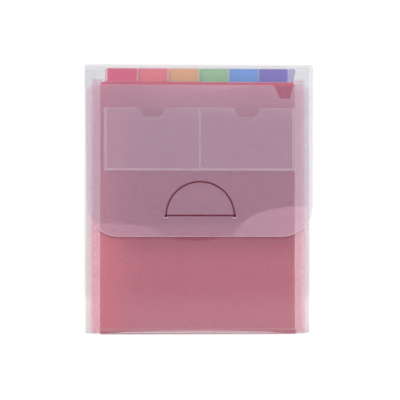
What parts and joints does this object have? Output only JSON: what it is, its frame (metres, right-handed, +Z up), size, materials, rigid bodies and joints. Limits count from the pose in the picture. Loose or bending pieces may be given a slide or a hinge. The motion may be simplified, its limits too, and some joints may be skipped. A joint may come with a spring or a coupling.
{
  "type": "expanding file folder",
  "caption": "Upright frosted plastic expanding file with pleated sides, stepped rainbow index tabs, a card pocket and a fold-over flap with a half-moon lock tab.",
  "frame": {"origin": "centre of the bounding box at the foot, where the base strip stands", "axes": "+Z up; -Y to the front, the side the flap hangs on; +X to the right as seen from the front"},
  "size_m": [0.262, 0.0399, 0.31],
  "materials": {
    "frosted_sheet": "frosted, translucent",
    "clear_film": "clear film, slightly hazy",
    "gusset_film": "thin frosted film with a pink cast",
    "magenta_pink_divider": "translucent tinted sheet",
    "magenta_pink_label": "satin",
    "coral_divider": "translucent tinted sheet",
    "coral_label": "satin",
    "amber_divider": "translucent tinted sheet",
    "amber_label": "satin",
    "green_divider": "translucent tinted sheet",
    "green_label": "satin",
    "blue_divider": "translucent tinted sheet",
    "blue_label": "satin",
    "violet_divider": "translucent tinted sheet",
    "violet_label": "satin"
  },
  "bodies": {
    "back": {"back_cover": "frosted_sheet", "base_strip": "frosted_sheet"},
    "front": {"front_cover": "frosted_sheet", "gusset_left_1": "gusset_film", "gusset_right_1": "gusset_film"},
    "cover_tab": {"cover_lock_tab": "frosted_sheet"},
    "spine": {"spine_strip": "frosted_sheet"},
    "flap": {"flap": "frosted_sheet", "card_pocket": "clear_film"},
    "flap_tab": {"flap_lock_tab": "frosted_sheet"},
    "leaf_1": {"divider_1": "magenta_pink_divider", "index_label_1": "magenta_pink_label", "gusset_left_2": "gusset_film", "gusset_right_2": "gusset_film"},
    "leaf_2": {"divider_2": "coral_divider", "index_label_2": "coral_label", "gusset_left_3": "gusset_film", "gusset_right_3": "gusset_film"},
    "leaf_3": {"divider_3": "amber_divider", "index_label_3": "amber_label", "gusset_left_4": "gusset_film", "gusset_right_4": "gusset_film"},
    "leaf_4": {"divider_4": "green_divider", "index_label_4": "green_label", "gusset_left_5": "gusset_film", "gusset_right_5": "gusset_film"},
    "leaf_5": {"divider_5": "blue_divider", "index_label_5": "blue_label", "gusset_left_6": "gusset_film", "gusset_right_6": "gusset_film"},
    "leaf_6": {"divider_6": "violet_divider", "index_label_6": "violet_label", "gusset_left_7": "gusset_film", "gusset_right_7": "gusset_film"}
  },
  "joints": [
    {"name": "spine_fold", "type": "hinge", "parent": "back", "child": "spine", "pos_m": [0, 0.0201, 0.30725], "axis": [-1, 0, 0], "range_deg": [0, 180]},
    {"name": "flap_fold", "type": "hinge", "parent": "spine", "child": "flap", "pos_m": [0, -0.0179, 0.30725], "axis": [-1, 0, 0], "range_deg": [0, 180]},
    {"name": "flap_tab_fold", "type": "hinge", "parent": "flap", "child": "flap_tab", "pos_m": [0, -0.0179, 0.13655], "axis": [1, 0, 0], "range_deg": [0, 80], "stiffness_Nm_per_rad": 0.02},
    {"name": "cover_tab_fold", "type": "hinge", "parent": "front", "child": "cover_tab", "pos_m": [0, -0.0157, 0.13655], "axis": [-1, 0, 0], "range_deg": [0, 5], "stiffness_Nm_per_rad": 0.02},
    {"name": "front_fan", "type": "hinge", "parent": "back", "child": "front", "pos_m": [0, -0.01625, 0.00275], "axis": [1, 0, 0], "range_deg": [0, 14.4], "deforming": ["gusset_left_1", "gusset_right_1"]},
    {"name": "leaf_1_fan", "type": "hinge", "parent": "back", "child": "leaf_1", "pos_m": [0, -0.01085, 0.0011], "axis": [1, 0, 0], "range_deg": [0, 12.34], "deforming": ["gusset_left_2", "gusset_right_2"]},
    {"name": "leaf_2_fan", "type": "hinge", "parent": "back", "child": "leaf_2", "pos_m": [0, -0.00585, 0.0011], "axis": [1, 0, 0], "range_deg": [0, 10.29], "deforming": ["gusset_left_3", "gusset_right_3"]},
    {"name": "leaf_3_fan", "type": "hinge", "parent": "back", "child": "leaf_3", "pos_m": [0, -0.00085, 0.0011], "axis": [1, 0, 0], "range_deg": [0, 8.23], "deforming": ["gusset_left_4", "gusset_right_4"]},
    {"name": "leaf_4_fan", "type": "hinge", "parent": "back", "child": "leaf_4", "pos_m": [0, 0.00415, 0.0011], "axis": [1, 0, 0], "range_deg": [0, 6.17], "deforming": ["gusset_left_5", "gusset_right_5"]},
    {"name": "leaf_5_fan", "type": "hinge", "parent": "back", "child": "leaf_5", "pos_m": [0, 0.00915, 0.0011], "axis": [1, 0, 0], "range_deg": [0, 4.11], "deforming": ["gusset_left_6", "gusset_right_6"]},
    {"name": "leaf_6_fan", "type": "hinge", "parent": "back", "child": "leaf_6", "pos_m": [0, 0.01415, 0.0011], "axis": [1, 0, 0], "range_deg": [0, 2.06], "deforming": ["gusset_left_7", "gusset_right_7"]}
  ],
  "couplings": [
    {"joint": "front_fan", "follows": "spine_fold", "ratio": 0.08},
    {"joint": "leaf_1_fan", "follows": "spine_fold", "ratio": 0.068571},
    {"joint": "leaf_2_fan", "follows": "spine_fold", "ratio": 0.057142},
    {"joint": "leaf_3_fan", "follows": "spine_fold", "ratio": 0.045714},
    {"joint": "leaf_4_fan", "follows": "spine_fold", "ratio": 0.034285},
    {"joint": "leaf_5_fan", "follows": "spine_fold", "ratio": 0.022857},
    {"joint": "leaf_6_fan", "follows": "spine_fold", "ratio": 0.011428}
  ]
}
